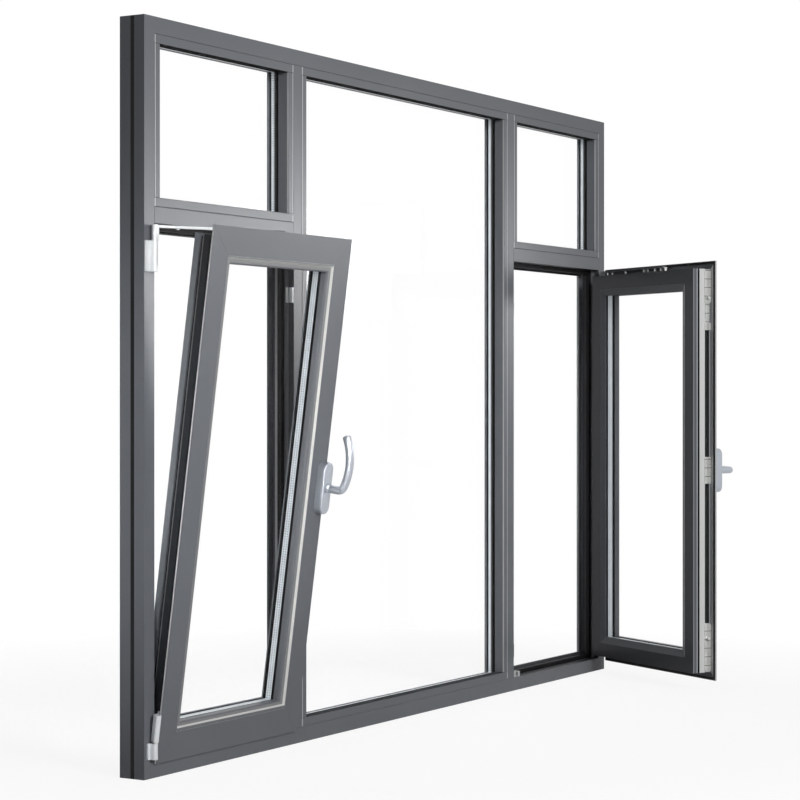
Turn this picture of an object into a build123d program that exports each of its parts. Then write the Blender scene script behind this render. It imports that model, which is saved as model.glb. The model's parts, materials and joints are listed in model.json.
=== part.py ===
from build123d import *
import math
import os

# A thermally broken aluminium window in three bays, modelled as it stands in
# the photograph: the left sash tilted in at the top, the right sash turned open.
# Millimetres. X runs along the window, +Z is up and the room is on the -Y side.
# The origin is the middle of the sill's underside.

# The whole window
WINDOW_WIDTH = 2280
WINDOW_HEIGHT = 1650
FRAME_DEPTH = 66
MULLION_OFFSET = 600
TRANSOM_HEIGHT = 1220

# Frame, mullion and transom profile
FACE_WIDTH = 37
FACE_EASE = 1
LEG_HEIGHT = 16
LEG_THICKNESS = 6
BREAK_START = 27
BREAK_WIDTH = 10
BREAK_RECESS = 2.5

# Fixed glazing
BEAD_FACE = 20
BEAD_DEPTH = 30
BEAD_SOFTENING = 1.5
BEAD_GAP = 0.3
PANE_THICKNESS = 4
SPACER_DEPTH = 16
SPACER_WIDTH = 10
PANE_INSET = 6
GASKET_INSET = 7
INNER_GASKET = 4
GASKET_REVEAL = 1.5

# Sash profile, measured from the tip of its flange
OVERLAP = 4
SASH_DROP = 3
SASH_PROUD = 11
SASH_DEPTH = 64
FLANGE_THICKNESS = 4
CHAMBER = 18
SASH_FACE = 64
MITRE_GAP = 0.3
SASH_BREAK_START = 31.5
SASH_BREAK_WIDTH = 6.5
SASH_BREAK_RECESS = 5
SASH_LEG_REACH = 18
SASH_BEVEL_WIDTH = 20
SASH_BEVEL_DEPTH = 7
GROOVE_CENTRE = 6
GROOVE_MOUTH = 14
GROOVE_WIDTH = 20
GROOVE_LIP = 3
GROOVE_DEPTH = 11
SEAL_THICKNESS = 1.5
SEAL_WIDTH = 6

# Sash bead: a narrow flat, a steep slope and a shallow one down to the glass
SASH_BEAD_FACE = 18
SASH_BEAD_DEPTH = 23
SASH_BEAD_FLAT = 4.5
SASH_BEAD_CROWN = 0.8
SASH_BEAD_STEP = 10
SASH_BEAD_STEP_DEPTH = 5.2
SASH_BEAD_NOSE_DEPTH = 8.5

# Hinge side hardware
HINGE_INSET = 22
HINGE_PROUD = 12
KNUCKLE_DIAMETER = 13
HINGE_PLATE_THICKNESS = 4
CORNER_PLATE_WIDTH = 20
CORNER_BEARING_BOTTOM = 42.5
CORNER_BEARING_TOP = 77.5
SASH_KNUCKLE_BOTTOM = 80
SASH_KNUCKLE_LENGTH = 60
BALL_DIAMETER = 8
BALL_EASE = 2.3
BALL_CLEARANCE = 0.3
BALL_HEIGHT = 66
BALL_NECK_DIAMETER = 5
STAY_PLATE_WIDTH = 27
STAY_BEARING_LENGTH = 67
STAY_KNUCKLE_LENGTH = 34
STAY_LEAF_REACH = 15
HINGE_GAP = 0.5
PIN_DIAMETER = 6
PIN_CLEARANCE = 0.1
LEAF_THICKNESS = 2.3
LEAF_SETBACK = 0.9
STAY_CLEARANCE = 4
STAY_LENGTH = 330
STAY_WIDTH = 14
STAY_THICKNESS = 5
RIVET_DIAMETER = 8
BUTTON_REACH = 65
BUTTON_HEIGHT = 3

# Poses that the photograph shows
TILT_ANGLE = 7.62
TURN_ANGLE = 59.25
LEVER_TURN = 90

# Lock side hardware
GEAR_THICKNESS = 3
GEAR_CLEARANCE = 0.2
PLATE_THICKNESS = 2
PLATE_LAP = 1.5
PLATE_CORNER = 5
DRIVE_END = 1.5
TOP_DRIVE_LENGTH = 95
RACK_LENGTH = 38
RACK_TEETH = 4
RACK_NOTCH = 4
TAB_LENGTH = 20
TAB_GAP = 5
DRIVE_SPACING = 3
TAB_SPACING = 14
GEAR_MIDDLE = 32
GEAR_END = 20
GEAR_SPLIT = 1.5
GEAR_LINE = 3
BOTTOM_DRIVE_LENGTH = 136
CAM_DISC_DIAMETER = 14
CAM_DISC_HEIGHT = 4
CAM_DIAMETER = 9
CAM_HEIGHT = 12
CAM_DROP = 80
CAM_RISE = 95
KEEPER_LENGTH = 36
KEEPER_WIDTH = 16
KEEPER_HEIGHT = 9
KEEPER_SETBACK = 1
KEEPER_SLOT = 10
KEEPER_WEB = 3
KEEPER_DROP = 114
KEEPER_RISE = 60
TILT_KEEPER_INSET = 20
TILT_KEEPER_HEIGHT = 14
BAY_SEAL_HEIGHT = 12
BAY_SEAL_WIDTH = 8

# Handle
HANDLE_HEIGHT = 617
HANDLE_INSET = 18
ROSETTE_LENGTH = 123
ROSETTE_WIDTH = 36
ROSETTE_THICKNESS = 21
ROSETTE_SOFTENING = 3
NECK_GAP = 0.3
COLLAR_DIAMETER = 25
COLLAR_LENGTH = 7
COLLAR_SOFTENING = 2
LEVER_DIAMETER = 19.5
LEVER_SIDES = 8
LEVER_NECK = 28.7
LEVER_BEND = 16
LEVER_BEND_TURN = 69
LEVER_BOW_RADIUS = 123
LEVER_BOW_TURN = 49
LEVER_TIP = 4
LEVER_TIP_SOFTENING = 3

CUT_REACH = 4 * FRAME_DEPTH
CUT_MARGIN = 1

# Depths from the room face, going out
LEG_START = FRAME_DEPTH - LEG_THICKNESS
PANE_START = BEAD_DEPTH + INNER_GASKET
SASH_BODY = OVERLAP + CHAMBER
SASH_OUTER_FACE = SASH_DEPTH - SASH_PROUD
FLANGE_BACK = FLANGE_THICKNESS - SASH_PROUD
SASH_PANE_START = SASH_BEAD_DEPTH - SASH_PROUD + INNER_GASKET
UNIT_THICKNESS = 2 * PANE_THICKNESS + SPACER_DEPTH
SASH_LEG_START = SASH_PANE_START + UNIT_THICKNESS + INNER_GASKET

# Places along the window
HALF_WIDTH = WINDOW_WIDTH / 2
HALF_FACE = FACE_WIDTH / 2
MULLION_X = HALF_WIDTH - MULLION_OFFSET
JAMB_X = HALF_WIDTH - FACE_WIDTH
HEAD_Z = WINDOW_HEIGHT - FACE_WIDTH
HINGE_X = -HALF_WIDTH + HINGE_INSET
TRANSOM_BOTTOM = TRANSOM_HEIGHT - HALF_FACE
TRANSOM_TOP = TRANSOM_HEIGHT + HALF_FACE

os.makedirs("parts", exist_ok=True)


def at_depth(depth):
    # Y of a depth counted from the frame's room face
    return depth - FRAME_DEPTH / 2


def bar(points, length):
    # A straight length of profile along X; points are (inward, depth) pairs
    face = Plane.YZ * Polygon(*[(depth, inward) for inward, depth in points], align=None)
    return extrude(face, amount=length, dir=(1, 0, 0))


def bead_bar(points, length):
    # A glazing bead: the same with the edges at both sides of its face softened
    solid = bar(points, length)
    front = solid.edges().filter_by(Axis.X).sort_by(Axis.Y)[:-2].sort_by(Axis.Z)
    return fillet([front[0], front[-1]], BEAD_SOFTENING)


def mitre(solid, length, inward, gap):
    # Saws both ends of a bar at 45 degrees, each half the joint's gap short
    reach = inward + CUT_MARGIN
    short = gap / math.sqrt(2)
    near = Polygon((-CUT_MARGIN, 0), (short, 0), (reach + short, reach), (-CUT_MARGIN, reach), align=None)
    waste = extrude(Plane.XZ * near, amount=CUT_REACH, both=True)
    return solid - waste - Pos(length, 0, 0) * mirror(waste, about=Plane.YZ)


def put(solid, side, rect):
    # Lays a bar along one side of a rectangle, its inward direction to the middle
    x0, z0, x1, z1 = rect
    corner = {"bottom": (x0, z0, 0), "right": (x1, z0, -90), "top": (x1, z1, 180), "left": (x0, z1, 90)}
    x, z, turn = corner[side]
    return Pos(x, at_depth(0), z) * Rot(0, turn, 0) * solid


def mitred_ring(points, rect, gap, make=bar):
    # Four mitred members round a rectangle
    x0, z0, x1, z1 = rect
    inward = max(inward for inward, depth in points)
    lengths = {"bottom": x1 - x0, "right": z1 - z0, "top": x1 - x0, "left": z1 - z0}
    return {
        side: put(mitre(make(points, length), length, inward, gap), side, rect)
        for side, length in lengths.items()
    }


def inset(rect, amount):
    x0, z0, x1, z1 = rect
    return (x0 + amount, z0 + amount, x1 - amount, z1 - amount)


def plate(rect, depth, thickness):
    # A flat sheet that fills a rectangle
    x0, z0, x1, z1 = rect
    sheet = Box(x1 - x0, thickness, z1 - z0, align=(Align.MIN, Align.MIN, Align.MIN))
    return Pos(x0, at_depth(depth), z0) * sheet


def loop(rect, outer, inner, depth, thickness):
    # A closed rectangular loop, as a gasket or a spacer
    return plate(inset(rect, outer), depth, thickness) - plate(inset(rect, inner), depth, thickness)


def butted_beads(points, rect):
    # Top and bottom beads run through, the upright ones butt between them
    x0, z0, x1, z1 = rect
    step = max(inward for inward, depth in points) + BEAD_GAP
    across = bead_bar(points, x1 - x0)
    upright = bead_bar(points, z1 - z0 - 2 * step)
    between = (x0, z0 + step, x1, z1 - step)
    bars = [put(across, "bottom", rect), put(across, "top", rect)]
    bars += [put(upright, "left", between), put(upright, "right", between)]
    return Compound(bars)


def glazing(rect, bead_face, pane_start, leg_reach, leg_start):
    # Two panes, the spacer between them and the gaskets that grip them
    back = pane_start + PANE_THICKNESS + SPACER_DEPTH
    unit_back = back + PANE_THICKNESS
    panes = [plate(inset(rect, PANE_INSET), depth, PANE_THICKNESS) for depth in (pane_start, back)]
    spacer_edge = PANE_INSET + SPACER_WIDTH
    spacer = loop(rect, PANE_INSET, spacer_edge, pane_start + PANE_THICKNESS, SPACER_DEPTH)
    inner_edge = bead_face - GASKET_REVEAL
    outer_edge = leg_reach - GASKET_REVEAL
    inner = loop(rect, GASKET_INSET, inner_edge, pane_start - INNER_GASKET, INNER_GASKET)
    outer = loop(rect, GASKET_INSET, outer_edge, unit_back, leg_start - unit_back)
    return panes, spacer, [inner, outer]


def turned(solid, x, angle):
    # Swings a solid about an upright axis at the hinge depth
    y = at_depth(-HINGE_PROUD)
    return Pos(x, y, 0) * Rot(0, 0, angle) * Pos(-x, -y, 0) * solid


def tilted(solid):
    # Tips a solid about the ball at the foot of the hinge side
    y = at_depth(-HINGE_PROUD)
    return Pos(0, y, BALL_HEIGHT) * Rot(TILT_ANGLE, 0, 0) * Pos(0, -y, -BALL_HEIGHT) * solid


def mirrored(piece):
    # The same piece on the other side of the window
    return Compound([mirror(solid, about=Plane.YZ) for solid in piece.solids()])


def rod(diameter, x, depth, bottom, top):
    # An upright round bar
    shape = Cylinder(diameter / 2, top - bottom, align=(Align.CENTER, Align.CENTER, Align.MIN))
    return Pos(x, at_depth(depth), bottom) * shape


def block(x0, x1, d0, d1, z0, z1):
    shape = Box(x1 - x0, d1 - d0, z1 - z0, align=(Align.MIN, Align.MIN, Align.MIN))
    return Pos(x0, at_depth(d0), z0) * shape


# Outer frame, mullions and transoms
BREAK_END = BREAK_START + BREAK_WIDTH
leg_tip = FACE_WIDTH + LEG_HEIGHT
frame_section = [
    (0, 0),
    (FACE_WIDTH - FACE_EASE, 0),
    (FACE_WIDTH, FACE_EASE),
    (FACE_WIDTH, BREAK_START),
    (FACE_WIDTH - BREAK_RECESS, BREAK_START),
    (FACE_WIDTH - BREAK_RECESS, BREAK_END),
    (FACE_WIDTH, BREAK_END),
    (FACE_WIDTH, LEG_START),
    (leg_tip, LEG_START),
    (leg_tip, FRAME_DEPTH),
    (0, FRAME_DEPTH),
]
half_section = [(inward - HALF_FACE, depth) for inward, depth in frame_section[1:-1]]
divider_section = half_section + [(-inward, depth) for inward, depth in reversed(half_section)]

outline = (-HALF_WIDTH, 0, HALF_WIDTH, WINDOW_HEIGHT)
frame = mitred_ring(frame_section, outline, 0)

divider_blank = bar(divider_section, HEAD_Z - FACE_WIDTH)
mullion = Pos(0, at_depth(0), HEAD_Z) * Rot(0, 90, 0) * divider_blank
right_mullion = Pos(MULLION_X, 0, 0) * mullion - frame["top"] - frame["bottom"]
left_mullion = mirrored(right_mullion)

transom_blank = bar(divider_section, JAMB_X - MULLION_X - HALF_FACE)
right_transom = Pos(MULLION_X + HALF_FACE, at_depth(0), TRANSOM_HEIGHT) * transom_blank
right_transom = right_transom - frame["right"] - right_mullion
left_transom = mirrored(right_transom)

parts = {
    "frame_head": frame["top"],
    "frame_sill": frame["bottom"],
    "frame_left_jamb": frame["left"],
    "frame_right_jamb": frame["right"],
    "left_mullion": left_mullion,
    "right_mullion": right_mullion,
    "left_transom": left_transom,
    "right_transom": right_transom,
}

# Fixed lights: beads, panes, spacers and gaskets
bead_section = [(0, 0), (BEAD_FACE, 0), (BEAD_FACE, BEAD_DEPTH), (0, BEAD_DEPTH)]
lights = {
    "left_top": (-JAMB_X, TRANSOM_TOP, -MULLION_X - HALF_FACE, HEAD_Z),
    "centre": (-MULLION_X + HALF_FACE, FACE_WIDTH, MULLION_X - HALF_FACE, HEAD_Z),
    "right_top": (MULLION_X + HALF_FACE, TRANSOM_TOP, JAMB_X, HEAD_Z),
}
fixed_panes = []
fixed_spacers = []
fixed_gaskets = []
for name, rect in lights.items():
    parts[name + "_beads"] = butted_beads(bead_section, rect)
    panes, spacer, gaskets = glazing(rect, BEAD_FACE, PANE_START, LEG_HEIGHT, LEG_START)
    fixed_panes += panes
    fixed_spacers.append(spacer)
    fixed_gaskets += gaskets
parts["fixed_panes"] = Compound(fixed_panes)
parts["fixed_spacers"] = Compound(fixed_spacers)
parts["fixed_gaskets"] = Compound(fixed_gaskets)

# The left vent as it is when shut; the right one is its mirror image
bay = (-JAMB_X, FACE_WIDTH, -MULLION_X - HALF_FACE, TRANSOM_BOTTOM)
flange_x0, flange_z0, flange_x1, flange_z1 = inset(bay, -OVERLAP)
flange = (flange_x0, flange_z0 - SASH_DROP, flange_x1, flange_z1 - SASH_DROP)
rebate = inset(flange, SASH_FACE)
mouth_start = GROOVE_CENTRE - GROOVE_MOUTH / 2
mouth_end = GROOVE_CENTRE + GROOVE_MOUTH / 2
groove_start = GROOVE_CENTRE - GROOVE_WIDTH / 2
groove_end = GROOVE_CENTRE + GROOVE_WIDTH / 2
groove_lip = SASH_BODY + GROOVE_LIP
groove_floor = SASH_BODY + GROOVE_DEPTH
break_floor = SASH_BODY + SASH_BREAK_RECESS
sash_break_end = SASH_BREAK_START + SASH_BREAK_WIDTH
sash_leg_tip = SASH_FACE + SASH_LEG_REACH
sash_section = [
    (0, -SASH_PROUD),
    (0, FLANGE_BACK),
    (SASH_BODY, FLANGE_BACK),
    (SASH_BODY, mouth_start),
    (groove_lip, mouth_start),
    (groove_lip, groove_start),
    (groove_floor, groove_start),
    (groove_floor, groove_end),
    (groove_lip, groove_end),
    (groove_lip, mouth_end),
    (SASH_BODY, mouth_end),
    (SASH_BODY, SASH_BREAK_START),
    (break_floor, SASH_BREAK_START),
    (break_floor, sash_break_end),
    (SASH_BODY, sash_break_end),
    (SASH_BODY, SASH_OUTER_FACE),
    (sash_leg_tip - SASH_BEVEL_WIDTH, SASH_OUTER_FACE),
    (sash_leg_tip, SASH_OUTER_FACE - SASH_BEVEL_DEPTH),
    (sash_leg_tip, SASH_LEG_START),
    (SASH_FACE, SASH_LEG_START),
    (SASH_FACE, FACE_EASE - SASH_PROUD),
    (SASH_FACE - FACE_EASE, -SASH_PROUD),
]
sash = mitred_ring(sash_section, flange, MITRE_GAP)
sash_bead_section = [
    (0, -SASH_PROUD),
    (SASH_BEAD_FLAT, SASH_BEAD_CROWN - SASH_PROUD),
    (SASH_BEAD_STEP, SASH_BEAD_STEP_DEPTH - SASH_PROUD),
    (SASH_BEAD_FACE, SASH_BEAD_NOSE_DEPTH - SASH_PROUD),
    (SASH_BEAD_FACE, SASH_BEAD_DEPTH - SASH_PROUD),
    (0, SASH_BEAD_DEPTH - SASH_PROUD),
]
sash_beads = mitred_ring(sash_bead_section, rebate, MITRE_GAP, bead_bar)
sash_panes, sash_spacer, sash_gaskets = glazing(
    rebate, SASH_BEAD_FACE, SASH_PANE_START, SASH_LEG_REACH, SASH_LEG_START
)
sash_seal = loop(flange, LEAF_THICKNESS, LEAF_THICKNESS + SEAL_WIDTH, FLANGE_BACK, SEAL_THICKNESS)


def rosette():
    # Long base with round ends and a softened face, standing on the sash
    foot = extrude(SlotOverall(ROSETTE_LENGTH, ROSETTE_WIDTH, rotation=90), amount=ROSETTE_THICKNESS)
    return chamfer(foot.faces().sort_by(Axis.Z)[-1].edges(), ROSETTE_SOFTENING)


def lever_section(diameter):
    # The lever is nearly round: a bar with flats all round
    return RegularPolygon(diameter / 2, LEVER_SIDES, rotation=180 / LEVER_SIDES).face()


def capped(face, length, softening):
    # A straight length on a flat face, its far edges softened
    outward = Axis(face.center(), face.normal_at())
    prism = extrude(face, amount=length)
    return chamfer(prism.faces().sort_by(outward)[-1].edges(), softening)


def lever():
    # Neck, bend and bowed grip in one sweep, pointing up, with a collar at the foot
    neck = Line((0, 0), (0, LEVER_NECK))
    bend = JernArc(neck @ 1, neck % 1, LEVER_BEND, -LEVER_BEND_TURN)
    grip = JernArc(bend @ 1, bend % 1, LEVER_BOW_RADIUS, -LEVER_BOW_TURN)
    path = Plane.YZ * (neck + bend + grip)
    shape = sweep(lever_section(LEVER_DIAMETER), path=path)
    tip = shape.faces().filter_by(GeomType.PLANE).sort_by(Axis.Y)[-1]
    shape += capped(tip, LEVER_TIP, LEVER_TIP_SOFTENING)
    shape += capped(lever_section(COLLAR_DIAMETER), COLLAR_LENGTH, COLLAR_SOFTENING)
    return Pos(0, 0, ROSETTE_THICKNESS + NECK_GAP) * shape


handle_x = flange[2] - HANDLE_INSET
on_sash = Pos(handle_x, at_depth(-SASH_PROUD), HANDLE_HEIGHT) * Rot(90, 0, 0)

# Sash hinge: knuckle, leaf through the gap behind the flange, barrel pivot below
pivot_bottom = BALL_HEIGHT - BALL_DIAMETER / 2
pivot_top = BALL_HEIGHT + BALL_DIAMETER / 2 - BALL_EASE
pivot = rod(BALL_DIAMETER, HINGE_X, -HINGE_PROUD, pivot_bottom, pivot_top)
pivot_edge = pivot.edges().filter_by(GeomType.CIRCLE).sort_by(Axis.Z)[0]
knuckle_top = SASH_KNUCKLE_BOTTOM + SASH_KNUCKLE_LENGTH
side_x = flange[0] + SASH_BODY
leaf_x = HINGE_X - LEAF_THICKNESS
leaf_front = -LEAF_SETBACK - LEAF_THICKNESS
sash_hinge = rod(KNUCKLE_DIAMETER, HINGE_X, -HINGE_PROUD, SASH_KNUCKLE_BOTTOM, knuckle_top)
sash_hinge += block(leaf_x, HINGE_X, -HINGE_PROUD, -LEAF_SETBACK, SASH_KNUCKLE_BOTTOM, knuckle_top)
sash_hinge += block(leaf_x, side_x, leaf_front, -LEAF_SETBACK, SASH_KNUCKLE_BOTTOM, knuckle_top)
sash_hinge += block(side_x - LEAF_THICKNESS, side_x, leaf_front, mouth_end, SASH_KNUCKLE_BOTTOM, knuckle_top)
sash_hinge += rod(BALL_NECK_DIAMETER, HINGE_X, -HINGE_PROUD, BALL_HEIGHT, SASH_KNUCKLE_BOTTOM)
sash_hinge += chamfer(pivot_edge, BALL_EASE)

# Stay arm: knuckle on the bearing pin, cranked bracket and flat bar over the sash
stay_top = TRANSOM_BOTTOM - STAY_CLEARANCE
stay_bottom = stay_top - STAY_KNUCKLE_LENGTH
arm_bottom = stay_top - STAY_THICKNESS
sash_top = flange[3] - SASH_BODY
bar_front = GROOVE_CENTRE - STAY_WIDTH / 2
bar_back = GROOVE_CENTRE + STAY_WIDTH / 2
crank_x = side_x - LEAF_THICKNESS
rivet_x = HINGE_X + STAY_LENGTH
stay_arm = rod(KNUCKLE_DIAMETER, HINGE_X, -HINGE_PROUD, stay_bottom, stay_top)
stay_arm += block(leaf_x, HINGE_X, -HINGE_PROUD, -LEAF_SETBACK, stay_bottom, stay_top)
stay_arm += block(leaf_x, HINGE_X + STAY_LEAF_REACH, leaf_front, -LEAF_SETBACK, stay_bottom, stay_top)
stay_arm += block(leaf_x, crank_x, leaf_front, -LEAF_SETBACK, arm_bottom, stay_top)
stay_arm += block(crank_x - STAY_WIDTH, crank_x, leaf_front, bar_back, arm_bottom, stay_top)
stay_arm += block(crank_x - STAY_WIDTH, rivet_x, bar_front, bar_back, arm_bottom, stay_top)
stay_arm += rod(STAY_WIDTH, rivet_x, GROOVE_CENTRE, arm_bottom, stay_top)
stay_arm += rod(RIVET_DIAMETER, HINGE_X + BUTTON_REACH, GROOVE_CENTRE, arm_bottom - BUTTON_HEIGHT, arm_bottom)
stay_arm -= rod(PIN_DIAMETER + 2 * PIN_CLEARANCE, HINGE_X, -HINGE_PROUD, stay_bottom, stay_top)


def stay(groove_height):
    # The arm with its rivet, which ends just over the groove it slides along
    return stay_arm + rod(RIVET_DIAMETER, rivet_x, GROOVE_CENTRE, groove_height + HINGE_GAP, arm_bottom)


# How the tilted sash carries its groove: ahead of the hinge axis, and lower
tilt = math.radians(TILT_ANGLE)
groove_run = GROOVE_CENTRE + HINGE_PROUD
groove_rise = sash_top - BALL_HEIGHT
groove_ahead = groove_rise * math.sin(tilt) - groove_run * math.cos(tilt)
tilted_groove = BALL_HEIGHT + groove_rise * math.cos(tilt) + groove_run * math.sin(tilt)
rivet_slant = RIVET_DIAMETER / 2 * math.tan(tilt)
stay_radius = math.hypot(STAY_LENGTH, groove_run)
stay_angle = math.degrees(math.atan2(groove_run, STAY_LENGTH) + math.asin(groove_ahead / stay_radius))

# Lock edge: a rod in the groove under face plates, rack, tabs and locking cams
lock_x = flange[2] - SASH_BODY
lock_bottom = flange[1] + SASH_BODY
strip_front = mouth_start + GEAR_CLEARANCE
strip_back = mouth_end - GEAR_CLEARANCE
plate_front = FLANGE_BACK + GEAR_CLEARANCE
plate_back = mouth_end + PLATE_LAP
plate_x = lock_x + PLATE_THICKNESS


def edge_strip(bottom, top):
    return block(lock_x - GEAR_THICKNESS, lock_x, strip_front, strip_back, bottom, top)


def face_plate(bottom, top):
    # A plate with cut corners over the groove and its front lip
    shape = block(lock_x, plate_x, plate_front, plate_back, bottom, top)
    return chamfer(shape.edges().filter_by(Axis.X), PLATE_CORNER)


def disc(diameter, height, z):
    shape = Cylinder(diameter / 2, height, align=(Align.CENTER, Align.CENTER, Align.MIN))
    return Pos(lock_x, at_depth(GROOVE_CENTRE), z) * Rot(0, 90, 0) * shape


def cam(z):
    # A locking cam: a disc on the plate and the pin that runs in a keeper
    return disc(CAM_DISC_DIAMETER, CAM_DISC_HEIGHT, z) + disc(CAM_DIAMETER, CAM_HEIGHT, z)


drive_top = sash_top - DRIVE_END
drive_bottom = drive_top - TOP_DRIVE_LENGTH
rack_top = drive_bottom - DRIVE_SPACING
rack_bottom = rack_top - RACK_LENGTH
tab_top = rack_bottom - TAB_SPACING
tab_bottom = tab_top - TAB_LENGTH
rack_pitch = RACK_LENGTH / RACK_TEETH
top_drive = edge_strip(tab_bottom, drive_top) + face_plate(drive_bottom, drive_top)
top_drive += cam(sash_top - CAM_DROP)
top_drive += block(lock_x, plate_x, strip_front, strip_back, rack_bottom, rack_top)
for tooth in range(RACK_TEETH):
    notch_bottom = rack_bottom + (tooth + 0.5) * rack_pitch - RACK_NOTCH / 2
    notch_top = notch_bottom + RACK_NOTCH
    top_drive -= block(lock_x, plate_x, strip_front, GROOVE_CENTRE, notch_bottom, notch_top)
for front, back in ((plate_front, GROOVE_CENTRE - TAB_GAP / 2), (GROOVE_CENTRE + TAB_GAP / 2, plate_back)):
    top_drive += block(lock_x, plate_x, front, back, tab_bottom, tab_top)

gear_half = GEAR_MIDDLE / 2 + GEAR_SPLIT + GEAR_END
gear_bottom = HANDLE_HEIGHT - gear_half
gear_top = HANDLE_HEIGHT + gear_half
line_front = GROOVE_CENTRE - GEAR_LINE / 2
line_back = GROOVE_CENTRE + GEAR_LINE / 2
gear_pieces = [
    (gear_bottom, gear_bottom + GEAR_END),
    (HANDLE_HEIGHT - GEAR_MIDDLE / 2, HANDLE_HEIGHT + GEAR_MIDDLE / 2),
    (gear_top - GEAR_END, gear_top),
]
gear = edge_strip(gear_bottom, gear_top)
for bottom, top in gear_pieces:
    gear += block(lock_x, plate_x, plate_front, plate_back, bottom, top)
gear -= block(lock_x + PLATE_THICKNESS / 2, plate_x, line_front, line_back, gear_bottom, gear_top)

foot_bottom = lock_bottom + DRIVE_END
foot_top = foot_bottom + BOTTOM_DRIVE_LENGTH
bottom_drive = edge_strip(foot_bottom, foot_top) + face_plate(foot_bottom, foot_top)
bottom_drive += cam(lock_bottom + CAM_RISE)
slide_rail = block(rivet_x - STAY_LENGTH / 3, rivet_x + STAY_LENGTH / 3, strip_front, strip_back,
                   sash_top - GEAR_THICKNESS, sash_top)

vent = {
    "sash_top_rail": sash["top"],
    "sash_bottom_rail": sash["bottom"],
    "sash_hinge_stile": sash["left"],
    "sash_lock_stile": sash["right"],
    "sash_beads": Compound(list(sash_beads.values())),
    "sash_panes": Compound(sash_panes),
    "sash_spacer": sash_spacer,
    "sash_gaskets": Compound(sash_gaskets + [sash_seal]),
    "sash_hinge": sash_hinge,
    "lock_gear": Compound([top_drive, gear, bottom_drive, slide_rail]),
    "handle_base": on_sash * rosette(),
}

for name, piece in vent.items():
    parts["left_" + name] = tilted(piece)
    parts["right_" + name] = turned(mirrored(piece), -HINGE_X, TURN_ANGLE)

parts["left_handle_lever"] = tilted(on_sash * lever())
right_lever = mirrored(on_sash * Rot(0, 0, LEVER_TURN) * lever())
parts["right_handle_lever"] = turned(right_lever, -HINGE_X, TURN_ANGLE)

parts["left_stay_arm"] = turned(stay(tilted_groove + rivet_slant), HINGE_X, -stay_angle)
parts["right_stay_arm"] = turned(mirrored(stay(sash_top)), -HINGE_X, TURN_ANGLE)


# Bearings on the jambs
def bearing(bottom, top, plate_width):
    # Foot plate on the jamb face with a knuckle ahead of it
    radius = KNUCKLE_DIAMETER / 2
    edge = HINGE_X + radius
    foot = block(edge - plate_width, edge, -HINGE_PLATE_THICKNESS, 0, bottom, top)
    web = block(HINGE_X - radius, edge, -HINGE_PROUD, -HINGE_PLATE_THICKNESS, bottom, top)
    return foot + web + rod(KNUCKLE_DIAMETER, HINGE_X, -HINGE_PROUD, bottom, top)


socket_floor = BALL_HEIGHT - BALL_DIAMETER / 2 - BALL_CLEARANCE
socket = rod(BALL_DIAMETER + 2 * BALL_CLEARANCE, HINGE_X, -HINGE_PROUD, socket_floor, CORNER_BEARING_TOP)
corner_bearing = bearing(CORNER_BEARING_BOTTOM, CORNER_BEARING_TOP, CORNER_PLATE_WIDTH) - socket
stay_bearing_top = stay_bottom - HINGE_GAP
stay_bearing = bearing(stay_bearing_top - STAY_BEARING_LENGTH, stay_bearing_top, STAY_PLATE_WIDTH)
stay_bearing += rod(PIN_DIAMETER, HINGE_X, -HINGE_PROUD, stay_bearing_top, stay_top)

parts["left_corner_bearing"] = corner_bearing
parts["left_stay_bearing"] = stay_bearing
parts["right_corner_bearing"] = mirrored(corner_bearing)
parts["right_stay_bearing"] = mirrored(stay_bearing)

# Gaskets and keepers in the rebates of the two opening bays
seal_depth = (BREAK_START + BREAK_END) / 2 - BAY_SEAL_WIDTH / 2
bay_seal = loop(inset(bay, -BREAK_RECESS), 0, BREAK_RECESS + BAY_SEAL_HEIGHT, seal_depth, BAY_SEAL_WIDTH)
parts["bay_seals"] = Compound([bay_seal, mirrored(bay_seal)])

keeper_back = KEEPER_SETBACK + KEEPER_WIDTH
slot_front = GROOVE_CENTRE - KEEPER_SLOT / 2
slot_back = GROOVE_CENTRE + KEEPER_SLOT / 2
half_keeper = KEEPER_LENGTH / 2


def keeper(z):
    # Striker on the mullion's rebate, with the slot the cam runs in
    x = bay[2]
    bottom = z - half_keeper
    top = z + half_keeper
    body = block(x - KEEPER_HEIGHT, x, KEEPER_SETBACK, keeper_back, bottom, top)
    return body - block(x - KEEPER_HEIGHT, x - KEEPER_WEB, slot_front, slot_back, bottom, top)


# Tilt keeper on the sill, forked for the lowest cam
tilt_x = bay[2] - TILT_KEEPER_INSET - half_keeper
fork_x = bay[2] - TILT_KEEPER_INSET - KEEPER_SLOT / 2
fork_bottom = FACE_WIDTH + KEEPER_WEB
fork_top = FACE_WIDTH + TILT_KEEPER_HEIGHT
tilt_keeper = block(tilt_x, tilt_x + KEEPER_LENGTH, KEEPER_SETBACK, keeper_back, FACE_WIDTH, fork_top)
tilt_keeper -= block(fork_x, fork_x + KEEPER_SLOT, KEEPER_SETBACK, keeper_back, fork_bottom, fork_top)
keepers = [keeper(sash_top - KEEPER_DROP), keeper(lock_bottom + KEEPER_RISE), tilt_keeper]
keepers += [mirrored(piece) for piece in keepers]
parts["keepers"] = Compound(keepers)

for name, piece in parts.items():
    export_step(piece, "parts/" + name + ".step")
    print(name, round(piece.volume / 1000, 1), "cm3")
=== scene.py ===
import bmesh
import bpy
import json
import math
from mathutils import Matrix, Vector


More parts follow.
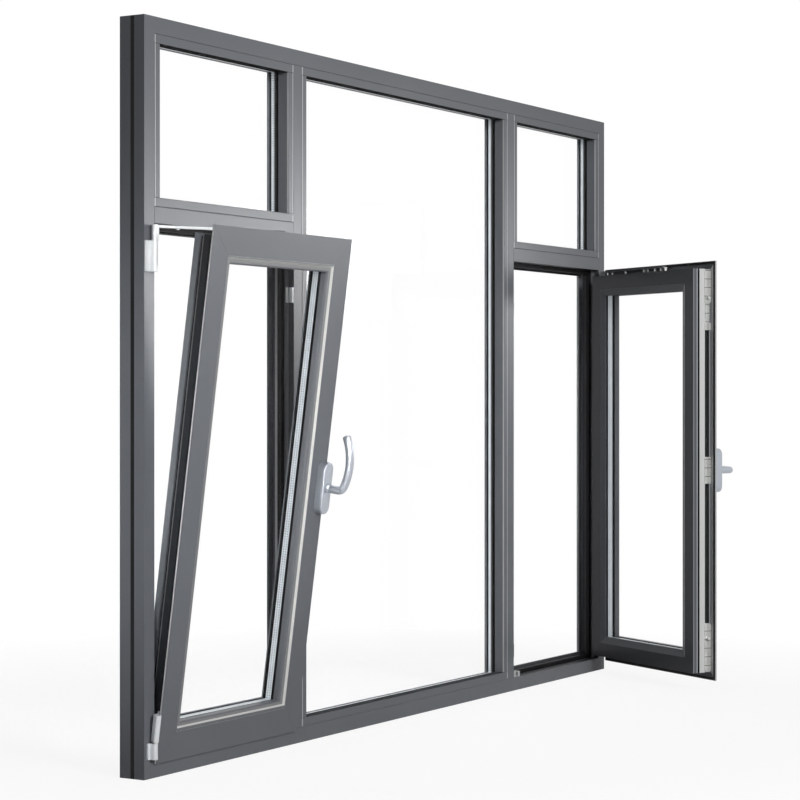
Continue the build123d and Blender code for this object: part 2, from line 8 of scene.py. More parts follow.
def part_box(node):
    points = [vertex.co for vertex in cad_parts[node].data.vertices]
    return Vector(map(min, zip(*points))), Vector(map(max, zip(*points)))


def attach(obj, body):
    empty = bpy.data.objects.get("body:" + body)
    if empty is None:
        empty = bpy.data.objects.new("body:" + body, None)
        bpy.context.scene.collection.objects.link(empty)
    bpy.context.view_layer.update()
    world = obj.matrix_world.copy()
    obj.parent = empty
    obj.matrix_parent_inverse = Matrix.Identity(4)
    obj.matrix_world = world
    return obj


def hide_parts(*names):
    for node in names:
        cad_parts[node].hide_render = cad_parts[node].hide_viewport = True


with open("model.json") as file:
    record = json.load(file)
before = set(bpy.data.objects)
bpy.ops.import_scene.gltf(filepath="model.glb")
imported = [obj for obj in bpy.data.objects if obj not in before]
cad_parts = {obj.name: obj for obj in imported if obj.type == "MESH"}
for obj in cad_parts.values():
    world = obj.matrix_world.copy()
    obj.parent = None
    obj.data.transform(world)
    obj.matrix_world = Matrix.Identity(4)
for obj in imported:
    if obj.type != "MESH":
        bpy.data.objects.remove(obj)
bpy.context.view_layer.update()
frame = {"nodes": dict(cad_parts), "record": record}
nodes = frame["nodes"]
slots = {s["node"]: s["material_slot"] for s in frame["record"]["subparts"]}
scene = bpy.context.scene

# Camera, as the photograph sees the window from the room side
CAMERA_PLACE = (-5.024, -2.989, 0.836)
CAMERA_AIM = (0.859, 0.512, 0.0)
LENS_MM = 101.4
SENSOR_MM = 36
SHIFT_Y = -0.010
FAR_CLIP = 200

# Where the two sashes hang and how far they are open
HINGE_X = 1.118
HINGE_Y = -0.045
PIVOT_Z = 0.066
TILT = math.radians(7.62)
TURN = math.radians(59.25)

# Handle on the shut left sash: a long base, and a lever with a collar, a neck, a bend and a bowed grip
HANDLE_PLACE = (-0.5725, -0.044, 0.617)
ROSETTE_LENGTH = 0.123
ROSETTE_WIDTH = 0.036
ROSETTE_THICKNESS = 0.021
ROSETTE_SOFTENING = 0.0035
ROSETTE_END_SEGMENTS = 16
ROSETTE_EDGE_STEPS = 6
LEVER_START = 0.0213
LEVER_RADIUS = 0.0096
LEVER_NECK = 0.0287
LEVER_BEND = 0.016
LEVER_BEND_TURN = math.radians(69)
LEVER_BEND_STEPS = 10
LEVER_BOW = 0.140
LEVER_BOW_TURN = math.radians(49)
LEVER_BOW_STEPS = 16
LEVER_TIP = 0.004
LEVER_TIP_NARROWING = 0.75
LEVER_TIP_STEPS = 6
LEVER_SEGMENTS = 24
COLLAR_RADIUS = 0.0122
COLLAR_LENGTH = 0.007
COLLAR_SLOPE = 0.0025

# Glass spacers: Y of the light bar's middle, half its width, and its two rows of pinholes
FIXED_SPACER_Y = 0.016
FIXED_SPACER_BAND = 0.0046
SASH_SPACER_Y = -0.005
SASH_SPACER_BAND = 0.0074
SPACER_HOLE_ROW = 0.0031
SPACER_HOLE_PITCH = 0.006
SPACER_HOLE_RADIUS = 0.0014

# Glazing bead of a sash: its width, the light lip beside the sash face, the flat and the rounded nose
BEAD_WIDTH = 0.018
BEAD_FRONT = -0.0441
BEAD_OVERLAP = 0.0003
BEAD_BACK = -0.021
BEAD_LIP = 0.005
BEAD_SIDE_MARGIN = 0.0004
BEAD_TOP_MARGIN = 0.002
BEAD_BOTTOM_MARGIN = 0.0065
BEAD_NOSE = ((0.0125, -0.0390), (0.0155, -0.0380), (0.0174, -0.0360), (0.0180, -0.0330))

# Studs under the open stay arm, as distances from the hinge line
STUD_PLACES = (0.045, 0.070, 0.140, 0.235, 0.255, 0.290, 0.320, 0.342)
STUD_Y = -0.027
STUD_BOTTOM = 1.1805
STUD_TOP = 1.1944
STUD_RADIUS = 0.004
STUD_HEAD = 0.0055
STUD_RIM = 0.002
STUD_SLOPE = 0.001
STUD_SEGMENTS = 12

# Lock gear: length of one plate and the dark joint between two
GEAR_PITCH = 0.024
GEAR_JOINT = 0.0014

# The two bays that open, as a reach from the middle and a height
BAY_REACH = (0.545, 1.125)
BAY_HEIGHT = (0.015, 1.225)

# Edges sharper than this stay sharp on the modelled pieces
SHARP = math.radians(35)

# Floor: half its size, its drop below the sill, the reach of its shadow and how white it stays there
FLOOR_REACH = 60
FLOOR_DROP = 0.0005
SHADOW_FLOOR = 2.2
SHADOW_WHITE = 0.90

# Tones of the floor as it is seen and as it lights the window, and the level of the light all round
FLOOR_PALE = (0.9, 0.9, 0.9, 1)
FLOOR_DIM = (0.25, 0.25, 0.25, 1)
WHITE = (1, 1, 1, 1)
AMBIENT = 0.07

# Poses: the fixed members, the tilted left sash, and the right sash, a turned mirror image of a left one
FIXED = Matrix.Identity(4)
LEFT_SASH = (
    Matrix.Translation((0, HINGE_Y, PIVOT_Z))
    @ Matrix.Rotation(TILT, 4, "X")
    @ Matrix.Translation((0, -HINGE_Y, -PIVOT_Z))
)
MIRROR = Matrix.Scale(-1, 4, (1, 0, 0))
RIGHT_TURN = (
    Matrix.Translation((HINGE_X, HINGE_Y, 0))
    @ Matrix.Rotation(TURN, 4, "Z")
    @ Matrix.Translation((-HINGE_X, -HINGE_Y, 0))
)
RIGHT_SASH = RIGHT_TURN @ MIRROR


def linear(r, g, b):
    # Linear colour of an sRGB triple of 0 to 255
    out = []
    for value in (r, g, b):
        c = value / 255
        out.append(c / 12.92 if c <= 0.04045 else ((c + 0.055) / 1.055) ** 2.4)
    return (*out, 1.0)


# Grey coat of the profiles: its two tones, drift, roughness, gloss and grain
COAT_DARK = linear(101, 104, 109)
COAT_LIGHT = linear(107, 110, 115)
COAT_DRIFT = 2.5
COAT_ROUGHNESS = 0.34
COAT_GLOSS = 0.15
BEAD_GLOSS = 0.3
COAT_SHEEN_SCALE = 260
COAT_GRAIN = (1100, 0.12, 0.0003)

# Metals: drift of the colour, drift of the sheen, and grain as scale, strength and depth
METAL_DRIFT = 14
METAL_SHEEN_SCALE = 500
METAL_GRAIN = (1500, 0.05, 0.0002)

# How far the roughness of coats and metals wanders up and down
SHEEN_RANGE = 0.06

# Rubber of the gaskets
RUBBER_DARK = linear(17, 17, 18)
RUBBER_LIGHT = linear(26, 26, 27)
RUBBER_DRIFT = 10
RUBBER_GRAIN = (700, 0.15, 0.0004)

# Spacer bar, its pinholes and the sealant beside it
BAR_DARK = linear(188, 195, 200)
BAR_LIGHT = linear(200, 206, 210)
BAR_DRIFT = 40
PINHOLE = linear(70, 76, 82)
SEALANT = linear(16, 16, 17)

# Plated lock gear and its joints
GEAR_DARK = linear(204, 206, 203)
GEAR_LIGHT = linear(222, 224, 220)
GEAR_DRIFT = 60
GEAR_GAP = linear(60, 60, 60)

# Stay arms: dull and bright tone, and the distances from the middle where the tone changes
# The colour ramp runs from zero to one, so it counts its distances from STAY_ORIGIN
STAY_DULL = linear(92, 95, 99)
STAY_BRIGHT = linear(230, 232, 234)
STAY_ROUGHNESS = 0.34
STAY_ORIGIN = 0.5
LEFT_STAY_FADE = (0.90, 0.95)
RIGHT_STAY_FADE = (1.07, 1.09)

# Glass bends light very little, so that the white behind it stays white
GLASS_IOR = 1.04

# Bands of another tone on the profiles, each as low depth, high depth and tone: a few are the black of
# breaks and seals, most are painted shade and painted highlights
BLACK_STRIP = linear(20, 20, 21)
# Painted shade for the outside faces, darker than the coat
OUTSIDE_SHADE = linear(80, 82, 86)

# Painted shade on the outside face, and the black thermal break of the frame
FRAME_BANDS = [
    (0.0325, 0.034, OUTSIDE_SHADE),
    (-0.006, 0.004, BLACK_STRIP),
]
# Rebate round the bays that open, and the same on the right jamb: stripes of painted shade and painted
# highlight, with black over the break and seals and painted shade beside them; the right jamb's stripes
# are lighter, as no sash shades it
BAY_BANDS = [
    (0.021, 0.0325, linear(74, 76, 79)),
    (0.014, 0.021, linear(160, 163, 165)),
    (-0.006, 0.014, BLACK_STRIP),
    (-0.018, -0.006, linear(88, 90, 93)),
    (-0.0325, -0.018, linear(48, 49, 51)),
]
RIGHT_JAMB_BANDS = [
    (0.027, 0.0325, linear(186, 187, 188)),
    (0.021, 0.027, linear(118, 121, 126)),
    (0.004, 0.021, linear(82, 84, 87)),
    (-0.018, -0.006, linear(120, 122, 125)),
    (-0.0325, -0.018, linear(66, 68, 70)),
]
# Painted shade on the outside face, the black thermal break, painted shade in the hardware groove, and
# painted highlights on the step and on the flange's edge of a sash
SASH_BANDS = [
    (0.0199, 0.0335, OUTSIDE_SHADE),
    (-0.0015, 0.005, BLACK_STRIP),
    (-0.034, -0.020, linear(26, 26, 27)),
    (-0.039, -0.0342, linear(150, 153, 155)),
    (-0.0437, -0.0403, linear(212, 213, 213)),
]
# Edge of a sash beside the groove on the rails and the hinge stile, in painted shade with a painted
# highlight along it, and bare on the lock stile, with painted highlights on the flange's back and in two
# lines on the outer part
SHADED_LAND_AND_HIGHLIGHT = [
    (-0.020, -0.0016, linear(52, 54, 57)),
    (-0.0045, -0.0016, linear(128, 130, 133)),
]
BARE_LAND_AND_HIGHLIGHTS = [
    (-0.020, -0.0016, linear(228, 229, 228)),
    (-0.0402, -0.0398, linear(200, 201, 203)),
    (0.005, 0.0078, linear(196, 200, 205)),
    (0.0165, 0.0199, linear(148, 149, 152)),
]
# Outer edge of the tilted sash, which catches the light
OUTER_EDGE = {
    "left": [(0.005, 0.0199, linear(134, 139, 146))],
    "right": [],
}
# Light lip of the sash beads and the line behind it
LIP_BANDS = [
    (-0.0438, -0.0392, linear(214, 214, 211)),
    (-0.0392, -0.0386, linear(128, 129, 130)),
]

# Beads of the fixed lights: how square a face stands to an axis, edge widths and tones, for painted
# highlights on their edges and painted shade where they face up or down
FACING = 0.9
BEAD_ARRIS = (-0.034, -0.028)
BEAD_SEAM = 0.004
BEAD_EDGE_HIGHLIGHT = linear(176, 177, 178)
BEAD_TOP_SHADE = linear(58, 59, 61)
LEVEL_ROUGHNESS = 0.95


# Helpers for materials
def new_material(name, roughness, metallic=0.0, specular=0.5):
    mat = bpy.data.materials.new(name)
    mat.use_nodes = True
    bsdf = mat.node_tree.nodes["Principled BSDF"]
    bsdf.inputs["Roughness"].default_value = roughness
    bsdf.inputs["Metallic"].default_value = metallic
    bsdf.inputs["Specular IOR Level"].default_value = specular
    return mat, mat.node_tree, bsdf


def add(tree, kind, **values):
    # A node with its plain settings and input values
    node = tree.nodes.new("ShaderNode" + kind)
    for key, value in values.items():
        if key in node.inputs:
            node.inputs[key].default_value = value
        else:
            setattr(node, key, value)
    return node


def noise(tree, coords, scale, detail=2.0):
    node = add(tree, "TexNoise", Scale=scale, Detail=detail)
    tree.links.new(coords, node.inputs["Vector"])
    return node.outputs["Fac"]


def object_coords(tree):
    return add(tree, "TexCoord").outputs["Object"]


def grain(tree, bsdf, coords, scale, strength, distance):
    # Fine surface grain as a bump
    bump = add(tree, "Bump", Strength=strength, Distance=distance)
    tree.links.new(noise(tree, coords, scale, detail=3.0), bump.inputs["Height"])
    tree.links.new(bump.outputs["Normal"], bsdf.inputs["Normal"])


def between(tree, factor, dark, light, low=0.3, high=0.7):
    # Colour that goes from dark to light as the factor goes from low to high
    ramp = add(tree, "ValToRGB")
    ramp.color_ramp.elements[0].position = low
    ramp.color_ramp.elements[1].position = high
    ramp.color_ramp.elements[0].color = dark
    ramp.color_ramp.elements[1].color = light
    tree.links.new(factor, ramp.inputs["Fac"])
    return ramp.outputs["Color"]


def drift(tree, bsdf, coords, scale, dark, light):
    # Slow drift of the colour over the surface
    colour = between(tree, noise(tree, coords, scale), dark, light)
    tree.links.new(colour, bsdf.inputs["Base Color"])


def sheen_drift(tree, bsdf, coords, scale, roughness):
    # Roughness that wanders a little
    remap = add(tree, "MapRange")
    remap.inputs["To Min"].default_value = roughness - SHEEN_RANGE
    remap.inputs["To Max"].default_value = roughness + SHEEN_RANGE
    tree.links.new(noise(tree, coords, scale), remap.inputs["Value"])
    tree.links.new(remap.outputs["Result"], bsdf.inputs["Roughness"])
    return remap.outputs["Result"]


def shut_place(tree, pose):
    # Coordinates on a sash as if it were shut, so a depth is a plain Y
    mapping = add(tree, "Mapping", vector_type="TEXTURE")
    mapping.inputs["Location"].default_value = pose.translation
    mapping.inputs["Rotation"].default_value = pose.to_euler()
    tree.links.new(object_coords(tree), mapping.inputs["Vector"])
    return mapping.outputs["Vector"]


def axes_of(tree, place):
    axes = add(tree, "SeparateXYZ")
    tree.links.new(place, axes.inputs["Vector"])
    return axes.outputs


def calculate(tree, operation, first, second):
    # One operation on a socket and a number, or on two sockets
    node = add(tree, "Math", operation=operation)
    tree.links.new(first, node.inputs[0])
    if isinstance(second, (int, float)):
        node.inputs[1].default_value = second
    else:
        tree.links.new(second, node.inputs[1])
    return node.outputs[0]


def unsigned(tree, value):
    return calculate(tree, "ABSOLUTE", value, 0.0)


def band(tree, value, low, high):
    # One where the value lies between low and high
    away = unsigned(tree, calculate(tree, "SUBTRACT", value, (low + high) / 2))
    return calculate(tree, "LESS_THAN", away, (high - low) / 2)


def over(tree, mask, under, colour):
    # Lays a colour over another where the mask is one
    mix = add(tree, "MixRGB", Color2=colour)
    tree.links.new(mask, mix.inputs["Fac"])
    tree.links.new(under, mix.inputs["Color1"])
    return mix.outputs["Color"]


# Materials
def powder_coat(name, pose, bands=(), bay_bands=(), gloss=COAT_GLOSS):
    # Grey coat with bands of another tone at set depths, some of them only round the bays that open; most
    # bands are painted shade and painted highlights
    mat, tree, bsdf = new_material(name, COAT_ROUGHNESS, specular=gloss)
    place = shut_place(tree, pose)
    axes = axes_of(tree, place)
    colour = between(tree, noise(tree, place, COAT_DRIFT), COAT_DARK, COAT_LIGHT)
    for low, high, tone in bands:
        colour = over(tree, band(tree, axes["Y"], low, high), colour, tone)
    if bay_bands:
        across = band(tree, unsigned(tree, axes["X"]), *BAY_REACH)
        in_bay = calculate(tree, "MULTIPLY", across, band(tree, axes["Z"], *BAY_HEIGHT))
        for low, high, tone in bay_bands:
            mask = calculate(tree, "MULTIPLY", in_bay, band(tree, axes["Y"], low, high))
            colour = over(tree, mask, colour, tone)
    tree.links.new(colour, bsdf.inputs["Base Color"])
    sheen_drift(tree, bsdf, place, COAT_SHEEN_SCALE, COAT_ROUGHNESS)
    grain(tree, bsdf, place, *COAT_GRAIN)
    return mat


def fixed_bead_coat(node):
    # Beads of a fixed light: painted highlights on the edges of the upright ones and along the front's
    # sides, and painted shade, with more roughness, where they face up or down
    mat, tree, bsdf = new_material(node + "_coat", COAT_ROUGHNESS, specular=COAT_GLOSS)
    place = object_coords(tree)
    axes = axes_of(tree, place)
    faces = axes_of(tree, add(tree, "NewGeometry").outputs["True Normal"])
    upright = calculate(tree, "GREATER_THAN", unsigned(tree, faces["X"]), FACING)
    front = calculate(tree, "LESS_THAN", faces["Y"], -FACING)
    low_x, high_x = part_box(node)[0][0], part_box(node)[1][0]
    colour = between(tree, noise(tree, place, COAT_DRIFT), COAT_DARK, COAT_LIGHT)
    # Painted highlights on the arris of the upright beads and at the seams on the front
    for mask, edge in (
        (upright, band(tree, axes["Y"], *BEAD_ARRIS)),
        (front, band(tree, axes["X"], low_x, low_x + BEAD_SEAM)),
        (front, band(tree, axes["X"], high_x - BEAD_SEAM, high_x)),
    ):
        colour = over(tree, calculate(tree, "MULTIPLY", mask, edge), colour, BEAD_EDGE_HIGHLIGHT)
    # Painted shade: black where a bead faces down, darker where it faces up
    colour = over(tree, calculate(tree, "LESS_THAN", faces["Z"], -FACING), colour, BLACK_STRIP)
    colour = over(tree, calculate(tree, "GREATER_THAN", faces["Z"], FACING), colour, BEAD_TOP_SHADE)
    tree.links.new(colour, bsdf.inputs["Base Color"])
    sheen = sheen_drift(tree, bsdf, place, COAT_SHEEN_SCALE, COAT_ROUGHNESS)
    level = calculate(tree, "GREATER_THAN", unsigned(tree, faces["Z"]), FACING)
    rough = calculate(tree, "MULTIPLY", level, LEVEL_ROUGHNESS)
    tree.links.new(calculate(tree, "MAXIMUM", sheen, rough), bsdf.inputs["Roughness"])
    grain(tree, bsdf, place, *COAT_GRAIN)
    return mat


def glass():
    mat, _, bsdf = new_material("glass", roughness=0.0)
    bsdf.inputs["Base Color"].default_value = WHITE
    bsdf.inputs["IOR"].default_value = GLASS_IOR
    bsdf.inputs["Transmission Weight"].default_value = 1.0
    return mat


def spacer(name, pose, middle, half_width):
    # A light bar with two rows of pinholes, black sealant along both edges
    mat, tree, bsdf = new_material(name, roughness=0.4, metallic=0.2)
    place = shut_place(tree, pose)
    axes = axes_of(tree, place)
    away = unsigned(tree, calculate(tree, "SUBTRACT", axes["Y"], middle))
    along = calculate(tree, "ADD", axes["X"], axes["Z"])
    step = calculate(tree, "PINGPONG", along, SPACER_HOLE_PITCH / 2)
    row = calculate(tree, "SUBTRACT", away, SPACER_HOLE_ROW)
    step_squared = calculate(tree, "MULTIPLY", step, step)
    row_squared = calculate(tree, "MULTIPLY", row, row)
    reach = calculate(tree, "ADD", step_squared, row_squared)
    hole = calculate(tree, "LESS_THAN", reach, SPACER_HOLE_RADIUS ** 2)
    edge = calculate(tree, "GREATER_THAN", away, half_width)
    bar = between(tree, noise(tree, place, BAR_DRIFT), BAR_DARK, BAR_LIGHT)
    colour = over(tree, edge, over(tree, hole, bar, PINHOLE), SEALANT)
    tree.links.new(colour, bsdf.inputs["Base Color"])
    return mat


def rubber():
    mat, tree, bsdf = new_material("rubber", roughness=0.6, specular=0.15)
    coords = object_coords(tree)
    drift(tree, bsdf, coords, RUBBER_DRIFT, RUBBER_DARK, RUBBER_LIGHT)
    grain(tree, bsdf, coords, *RUBBER_GRAIN)
    return mat


def metal(name, dark, light, metallic, roughness):
    # Cast or plated metal with a fine satin surface
    mat, tree, bsdf = new_material(name, roughness, metallic)
    coords = object_coords(tree)
    drift(tree, bsdf, coords, METAL_DRIFT, dark, light)
    sheen_drift(tree, bsdf, coords, METAL_SHEEN_SCALE, roughness)
    grain(tree, bsdf, coords, *METAL_GRAIN)
    return mat


def lock_steel(name, pose):
    # Plated lock gear, in short lengths with dark joints between them
    mat, tree, bsdf = new_material(name, roughness=0.3, metallic=0.3)
    place = shut_place(tree, pose)
    colour = between(tree, noise(tree, place, GEAR_DRIFT), GEAR_DARK, GEAR_LIGHT)
    step = calculate(tree, "PINGPONG", axes_of(tree, place)["Z"], GEAR_PITCH / 2)
    joint = calculate(tree, "LESS_THAN", step, GEAR_JOINT / 2)
    tree.links.new(over(tree, joint, colour, GEAR_GAP), bsdf.inputs["Base Color"])
    grain(tree, bsdf, place, *METAL_GRAIN)
    return mat


def stay_steel(name, dull, bright):
    # Stay arm, bright at the hinge and dull from there along the bar
    mat, tree, bsdf = new_material(name, STAY_ROUGHNESS, metallic=0.2)
    coords = object_coords(tree)
    across = unsigned(tree, axes_of(tree, coords)["X"])
    along = calculate(tree, "SUBTRACT", across, STAY_ORIGIN)
    low, high = dull - STAY_ORIGIN, bright - STAY_ORIGIN
    colour = between(tree, along, STAY_DULL, STAY_BRIGHT, low, high)
    tree.links.new(colour, bsdf.inputs["Base Color"])
    sheen_drift(tree, bsdf, coords, METAL_SHEEN_SCALE, STAY_ROUGHNESS)
    grain(tree, bsdf, coords, *METAL_GRAIN)
    return mat


anodised = metal("anodised", linear(172, 177, 185), linear(184, 189, 197), metallic=0.75, roughness=0.32)
zinc = metal("zinc", linear(146, 149, 149), linear(172, 174, 174), metallic=0.4, roughness=0.30)
silver = metal("hinge_silver", linear(224, 227, 230), linear(236, 238, 240), metallic=0.25, roughness=0.32)
bright_steel = metal(
    "bright_steel", linear(224, 226, 226), linear(238, 239, 238), metallic=0.3, roughness=0.25
)
slot_materials = {
    "profile": powder_coat("frame_coat", FIXED, FRAME_BANDS, BAY_BANDS),
    "glass": glass(),
    "spacer": spacer("fixed_spacer_bar", FIXED, FIXED_SPACER_Y, FIXED_SPACER_BAND),
    "gasket": rubber(),
    "hinge": silver,
    "hardware": zinc,
    "handle": anodised,
}

# Nodes whose finish or painted light and shade differs from the rest of their slot
node_materials = {
    # The right jamb has its own painted shade and painted highlights in its rebate
    "frame_right_jamb": powder_coat("right_jamb_painted_light_coat", FIXED, FRAME_BANDS, RIGHT_JAMB_BANDS),
    "left_stay_arm": stay_steel("left_stay_steel", *LEFT_STAY_FADE),
    "right_stay_arm": stay_steel("right_stay_steel", *RIGHT_STAY_FADE),
}
for node in ("left_top_beads", "centre_beads", "right_top_beads"):
    node_materials[node] = fixed_bead_coat(node)
bead_coats = {}
for side, pose in (("left", LEFT_SASH), ("right", RIGHT_TURN)):
    sash = side + "_sash_"
    coat = powder_coat(sash + "coat", pose, SASH_BANDS + SHADED_LAND_AND_HIGHLIGHT + OUTER_EDGE[side])
    for piece in ("top_rail", "bottom_rail", "hinge_stile"):
        node_materials[sash + piece] = coat
    node_materials[sash + "lock_stile"] = powder_coat(side + "_lock_coat", pose, SASH_BANDS + BARE_LAND_AND_HIGHLIGHTS)
    node_materials[sash + "spacer"] = spacer(side + "_spacer_bar", pose, SASH_SPACER_Y, SASH_SPACER_BAND)
    node_materials[side + "_lock_gear"] = lock_steel(side + "_lock_steel", pose)
    bead_coats[side] = powder_coat(side + "_bead_coat", pose, LIP_BANDS, gloss=BEAD_GLOSS)
for name, obj in nodes.items():
    obj.data.materials.clear()
    obj.data.materials.append(node_materials.get(name, slot_materials[slots[name]]))
    if slots[name] == "glass":
        obj.visible_shadow = False


# Modelled pieces
def skinned(name, skins, material, slot, matrix, *replaced):
    # One piece from several skins: each joins closed rings one after another and is capped at both ends
    points = []
    faces = []
    for rings in skins:
        count = len(rings[0])
        first = len(points)
        last = first + (len(rings) - 1) * count
        points += [matrix @ Vector(p) for ring in rings for p in ring]
        for row in range(first, last, count):
            for i in range(count):
                j = (i + 1) % count
                faces.append((row + i, row + j, row + count + j, row + count + i))
        faces.append(tuple(range(first, first + count)))
        faces.append(tuple(range(last, last + count)))
    mesh = bpy.data.meshes.new(name)
    mesh.from_pydata(points, [], faces)
    work = bmesh.new()
    work.from_mesh(mesh)
    bmesh.ops.recalc_face_normals(work, faces=work.faces)
    work.to_mesh(mesh)
    work.free()
    mesh.polygons.foreach_set("use_smooth", [True] * len(mesh.polygons))
    mesh.set_sharp_from_angle(angle=SHARP)
    mesh.materials.append(material)
    obj = bpy.data.objects.new(name, mesh)
    scene.collection.objects.link(obj)
    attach(obj, "root")
    if replaced:
        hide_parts(*replaced)


def sash_beads(side, matrix):
    # Four mitred bars round the glass with a light lip and a sloped, rounded nose
    # The tilted sash keeps its true width and the turned one its true height, and both are alike
    left_edge, right_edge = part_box("left_sash_beads")[0][0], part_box("left_sash_beads")[1][0]
    bottom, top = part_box("right_sash_beads")[0][2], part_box("right_sash_beads")[1][2]
    section = [(0, BEAD_FRONT), (BEAD_LIP, BEAD_FRONT + BEAD_LIP), *BEAD_NOSE, (BEAD_WIDTH, BEAD_BACK)]

    def inset(across, margin):
        return margin + across * (BEAD_WIDTH - margin) / BEAD_WIDTH

    corners = []
    for x, z, in_x, in_z, margin in (
        (left_edge, bottom, 1, 1, BEAD_BOTTOM_MARGIN),
        (right_edge, bottom, -1, 1, BEAD_BOTTOM_MARGIN),
        (right_edge, top, -1, -1, BEAD_TOP_MARGIN),
        (left_edge, top, 1, -1, BEAD_TOP_MARGIN),
    ):
        outer_front = (x - in_x * BEAD_OVERLAP, BEAD_FRONT, z - in_z * BEAD_OVERLAP)
        ring = [(x, BEAD_BACK, z), outer_front]
        for across, depth in section:
            point_x = x + in_x * inset(across, BEAD_SIDE_MARGIN)
            point_z = z + in_z * inset(across, margin)
            ring.append((point_x, depth, point_z))
        corners.append(ring)
    count = len(corners)
    bars = [[corners[i], corners[(i + 1) % count]] for i in range(count)]
    name = side + "_glazing_beads"
    skinned(name, bars, bead_coats[side], "profile", matrix, side + "_sash_beads")


def stay_studs(name, matrix):
    # Round studs between the sash's top rail and the stay arm, with a wider head at each end
    outline = (
        (STUD_HEAD, STUD_BOTTOM),
        (STUD_HEAD, STUD_BOTTOM + STUD_RIM),
        (STUD_RADIUS, STUD_BOTTOM + STUD_RIM + STUD_SLOPE),
        (STUD_RADIUS, STUD_TOP - STUD_RIM - STUD_SLOPE),
        (STUD_HEAD, STUD_TOP - STUD_RIM),
        (STUD_HEAD, STUD_TOP),
    )
    turns = [2 * math.pi * i / STUD_SEGMENTS for i in range(STUD_SEGMENTS)]
    skins = []
    for place in STUD_PLACES:
        x = HINGE_X - place
        rings = []
        for radius, z in outline:
            rings.append([(x + radius * math.cos(a), STUD_Y + radius * math.sin(a), z) for a in turns])
        skins.append(rings)
    skinned(name, skins, bright_steel, "hardware", matrix)


def slot_ring(length, width, height):
    # A flat ring with round ends, long way up
    radius = width / 2
    reach = length / 2 - radius
    ring = []
    for end, start in ((1, 0), (-1, math.pi)):
        for i in range(ROSETTE_END_SEGMENTS + 1):
            angle = start + math.pi * i / ROSETTE_END_SEGMENTS
            ring.append((radius * math.cos(angle), end * reach + radius * math.sin(angle), height))
    return ring


def rosette(side, matrix):
    # Long base of a handle with round ends and a rolled front edge
    rings = [slot_ring(ROSETTE_LENGTH, ROSETTE_WIDTH, 0)]
    for i in range(ROSETTE_EDGE_STEPS + 1):
        angle = math.pi / 2 * i / ROSETTE_EDGE_STEPS
        inset = 2 * ROSETTE_SOFTENING * (1 - math.cos(angle))
        height = ROSETTE_THICKNESS - ROSETTE_SOFTENING * (1 - math.sin(angle))
        rings.append(slot_ring(ROSETTE_LENGTH - inset, ROSETTE_WIDTH - inset, height))
    skinned(side + "_rosette", [rings], anodised, "handle", matrix, side + "_handle_base")


def lever_path():
    # Height, distance out, heading and radius along the collar, neck, bend, bowed grip and round tip
    height, out, heading = 0.0, LEVER_START + LEVER_NECK, 0.0
    path = [
        (height, LEVER_START, heading, COLLAR_RADIUS),
        (height, LEVER_START + COLLAR_LENGTH - COLLAR_SLOPE, heading, COLLAR_RADIUS),
        (height, LEVER_START + COLLAR_LENGTH, heading, LEVER_RADIUS),
        (height, out, heading, LEVER_RADIUS),
    ]
    for radius, turn, steps in (
        (LEVER_BEND, LEVER_BEND_TURN, LEVER_BEND_STEPS),
        (LEVER_BOW, LEVER_BOW_TURN, LEVER_BOW_STEPS),
    ):
        step = turn / steps
        chord = 2 * radius * math.sin(step / 2)
        for _ in range(steps):
            middle = heading + step / 2
            height += chord * math.sin(middle)
            out += chord * math.cos(middle)
            heading += step
            path.append((height, out, heading, LEVER_RADIUS))
    for i in range(1, LEVER_TIP_STEPS + 1):
        angle = math.pi / 2 * i / LEVER_TIP_STEPS
        along = LEVER_TIP * math.sin(angle)
        radius = LEVER_RADIUS * (1 - LEVER_TIP_NARROWING * (1 - math.cos(angle)))
        tip_height = height + along * math.sin(heading)
        tip_out = out + along * math.cos(heading)
        path.append((tip_height, tip_out, heading, radius))
    return path


def lever(side, matrix):
    # Round bar of a handle along its path
    rings = []
    for height, out, heading, radius in lever_path():
        ring = []
        for i in range(LEVER_SEGMENTS):
            angle = 2 * math.pi * i / LEVER_SEGMENTS
            across = radius * math.cos(angle)
            lift = radius * math.sin(angle)
            ring.append((across, height + lift * math.cos(heading), out - lift * math.sin(heading)))
        rings.append(ring)
    skinned(side + "_lever", [rings], anodised, "handle", matrix, side + "_handle_lever")


for side, pose in (("left", LEFT_SASH), ("right", RIGHT_SASH)):
    sash_beads(side, pose)
stay_studs("right_stay_studs", RIGHT_TURN)

# The left handle points up and the right one is turned level
on_sash = Matrix.Translation(HANDLE_PLACE) @ Matrix.Rotation(math.pi / 2, 4, "X")
for side, pose, turned in (("left", LEFT_SASH, 0.0), ("right", RIGHT_SASH, math.pi / 2)):
    rosette(side, pose @ on_sash)
    lever(side, pose @ on_sash @ Matrix.Rotation(turned, 4, "Z"))


# Floor, world, lamps and camera
def seen_rays(tree):
    # One for rays from the camera, through glass or off gloss
    rays = add(tree, "LightPath").outputs
    direct = calculate(tree, "MAXIMUM", rays["Is Camera Ray"], rays["Is Transmission Ray"])
    return calculate(tree, "MAXIMUM", direct, rays["Is Glossy Ray"])


def mixed(tree, factor, first, second):
    # Shader that goes from the first to the second as the factor goes from zero to one
    mix = add(tree, "MixShader")
    tree.links.new(factor, mix.inputs["Fac"])
    tree.links.new(first, mix.inputs[1])
    tree.links.new(second, mix.inputs[2])
    return mix.outputs["Shader"]


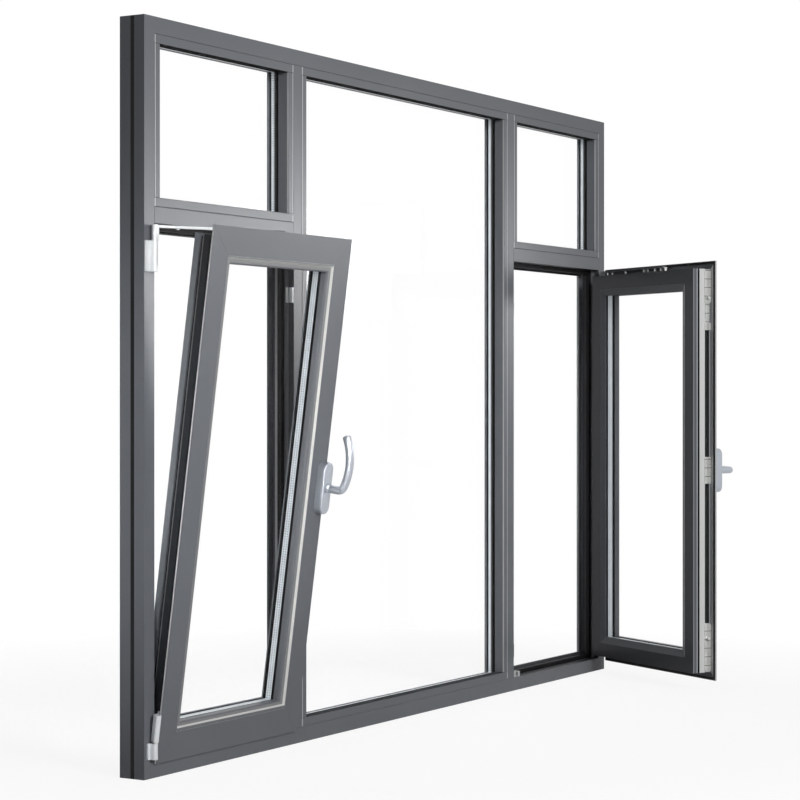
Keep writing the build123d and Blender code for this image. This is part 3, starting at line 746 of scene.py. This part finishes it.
def pale_floor():
    # White where it is seen, with the window's shadow near it, and dim where it lights the window
    mat = bpy.data.materials.new("pale_floor")
    mat.use_nodes = True
    tree = mat.node_tree
    tree.nodes.clear()
    pale = add(tree, "BsdfDiffuse", Color=FLOOR_PALE)
    dim = add(tree, "BsdfDiffuse", Color=FLOOR_DIM)
    white = add(tree, "Emission", Strength=1.0)
    away = add(tree, "VectorMath", operation="LENGTH")
    tree.links.new(object_coords(tree), away.inputs[0])
    fade = add(tree, "MapRange")
    fade.inputs["From Min"].default_value = SHADOW_FLOOR / 2
    fade.inputs["From Max"].default_value = SHADOW_FLOOR
    fade.inputs["To Min"].default_value = SHADOW_WHITE
    fade.inputs["To Max"].default_value = 1.0
    tree.links.new(away.outputs["Value"], fade.inputs["Value"])
    lit = mixed(tree, fade.outputs["Result"], pale.outputs["BSDF"], white.outputs["Emission"])
    surface = mixed(tree, seen_rays(tree), dim.outputs["BSDF"], lit)
    tree.links.new(surface, add(tree, "OutputMaterial").inputs["Surface"])
    return mat


def lay_floor():
    mesh = bpy.data.meshes.new("floor")
    corners = [(-1, -1), (1, -1), (1, 1), (-1, 1)]
    mesh.from_pydata([(FLOOR_REACH * x, FLOOR_REACH * y, 0) for x, y in corners], [], [(0, 1, 2, 3)])
    mesh.materials.append(pale_floor())
    floor = bpy.data.objects.new("floor", mesh)
    floor.location.z = -FLOOR_DROP
    scene.collection.objects.link(floor)


def studio_world():
    # White to the eye, in glass and in gloss, and a low even level for lighting
    world = bpy.data.worlds.new("studio")
    world.use_nodes = True
    tree = world.node_tree
    tree.nodes.clear()
    ambient = add(tree, "Background", Color=WHITE, Strength=AMBIENT)
    white = add(tree, "Background", Color=WHITE, Strength=1.0)
    surface = mixed(tree, seen_rays(tree), ambient.outputs["Background"], white.outputs["Background"])
    tree.links.new(surface, add(tree, "OutputWorld").inputs["Surface"])
    return world


def turned_to(direction):
    return Vector(direction).to_track_quat("-Z", "Y").to_euler()


def area(name, place, aim, size, power, spread=180):
    lamp = bpy.data.lights.new(name, "AREA")
    lamp.shape = "RECTANGLE"
    lamp.size, lamp.size_y = size
    lamp.energy = power
    lamp.spread = math.radians(spread)
    obj = bpy.data.objects.new(name, lamp)
    obj.location = place
    obj.rotation_euler = turned_to(Vector(aim) - Vector(place))
    scene.collection.objects.link(obj)


def photo_camera():
    lens = bpy.data.cameras.new("camera")
    lens.lens = LENS_MM
    lens.sensor_width = SENSOR_MM
    lens.shift_y = SHIFT_Y
    lens.clip_end = FAR_CLIP
    obj = bpy.data.objects.new("camera", lens)
    obj.location = CAMERA_PLACE
    obj.rotation_euler = turned_to(CAMERA_AIM)
    scene.collection.objects.link(obj)
    return obj


lay_floor()
scene.world = studio_world()
area("key", place=(-3.0, -6.5, 3.4), aim=(0, 0, 0.85), size=(2.0, 2.0), power=370)
area("fill", place=(-5.0, -1.7, 0.75), aim=(-1.0, -0.1, 0.7), size=(0.9, 0.9), power=1.5, spread=12)
area("side_panel", place=(3.3, -2.8, 1.42), aim=(-1.02, 0, 1.12), size=(1.6, 0.5), power=1.35, spread=18)
scene.camera = photo_camera()
scene.view_settings.view_transform = "Standard"
